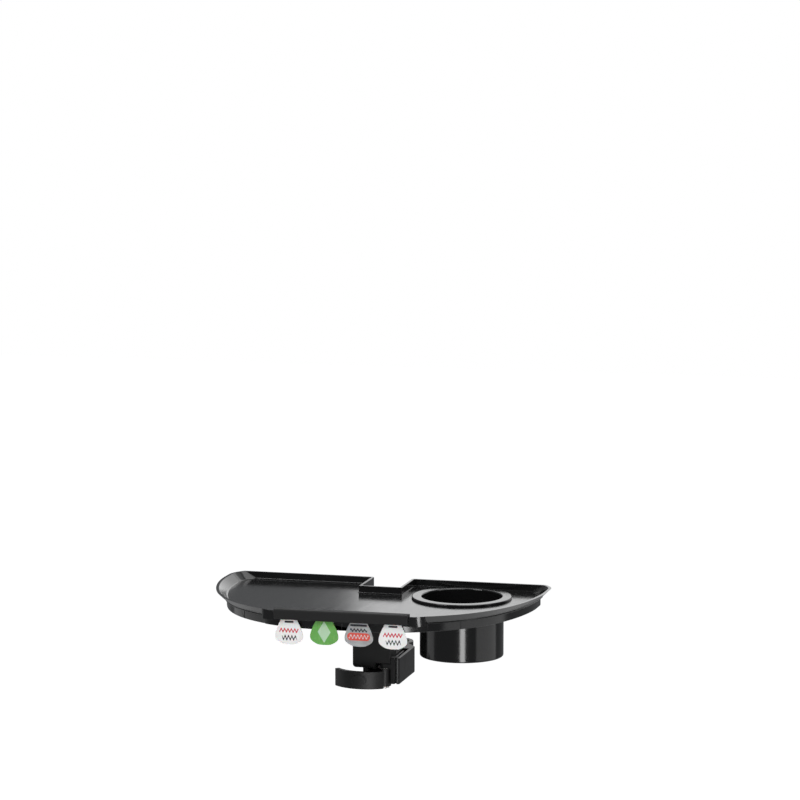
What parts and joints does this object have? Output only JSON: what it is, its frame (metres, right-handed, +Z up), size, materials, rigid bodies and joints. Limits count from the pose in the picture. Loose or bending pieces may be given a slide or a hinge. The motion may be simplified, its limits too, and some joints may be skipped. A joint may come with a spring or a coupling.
{
  "type": "microphone stand tray with pick holder",
  "caption": "Half-round clip-on stand tray with a cup well, a rubber pick strip along its front edge and a cam-lever clamp for a round pole.",
  "frame": {"origin": "on the pole axis at mid height of the clamp jaws", "axes": "+Z up along the pole, -Y towards the player (front, pick strip side), +X to the cup-well side"},
  "size_m": [0.3066, 0.2093, 0.092],
  "materials": {
    "tray_plastic": "glossy moulded black plastic with faint flow marks and handling scuffs",
    "strip_rubber": "matte extruded black rubber",
    "clamp_plastic": "fine-textured glass-filled black plastic",
    "lever_plastic": "satin black plastic, edges polished by use",
    "pad_rubber": "soft black grip rubber",
    "steel": "zinc-plated steel",
    "washer_nylon": "natural nylon",
    "rivet_plastic": "black nylon",
    "pick_white": "white celluloid, slightly pearly",
    "pick_green": "green celluloid with a plain pale diamond",
    "pick_silver": "silver-grey celluloid"
  },
  "bodies": {
    "tray": {"tray_shell": "tray_plastic", "cup_well": "tray_plastic", "pick_strip": "strip_rubber", "clamp_body": "clamp_plastic", "jaw_pad": "pad_rubber", "wear_plate": "steel", "clamp_screw_1": "steel", "clamp_screw_2": "steel", "clamp_screw_3": "steel", "clamp_screw_4": "steel", "strip_rivet_1": "rivet_plastic", "strip_rivet_2": "rivet_plastic", "strip_rivet_3": "rivet_plastic", "strip_rivet_4": "rivet_plastic", "strip_rivet_5": "rivet_plastic"},
    "hook": {"hook_jaw": "clamp_plastic", "hook_pad": "pad_rubber", "lever_pin": "steel", "pin_clip": "steel", "washer_top": "washer_nylon", "washer_bottom": "washer_nylon"},
    "lever": {"cam_lever": "lever_plastic"},
    "pick_white_left": {"pick_white_left": "pick_white"},
    "pick_green": {"pick_green": "pick_green"},
    "pick_silver": {"pick_silver": "pick_silver"},
    "pick_white_right": {"pick_white_right": "pick_white"}
  },
  "joints": [
    {"name": "hook_slide", "type": "slide", "parent": "tray", "child": "hook", "axis": [0, 1, 0], "range_m": [0, 0.004]},
    {"name": "lever_swing", "type": "hinge", "parent": "hook", "child": "lever", "pos_m": [0.0089, -0.0745, -0.0065], "axis": [0, 0, 1], "range_deg": [0, 60]},
    {"name": "pick_white_left_pull", "type": "slide", "parent": "tray", "child": "pick_white_left", "axis": [0, 0, -1], "range_m": [0, 0.0068]},
    {"name": "pick_green_pull", "type": "slide", "parent": "tray", "child": "pick_green", "axis": [0, 0, -1], "range_m": [0, 0.0068]},
    {"name": "pick_silver_pull", "type": "slide", "parent": "tray", "child": "pick_silver", "axis": [0, 0, -1], "range_m": [0, 0.0068]},
    {"name": "pick_white_right_pull", "type": "slide", "parent": "tray", "child": "pick_white_right", "axis": [0, 0, -1], "range_m": [0, 0.0068]}
  ],
  "couplings": [
    {"joint": "hook_slide", "follows": "lever_swing", "m_per_rad": 0.0038197}
  ]
}
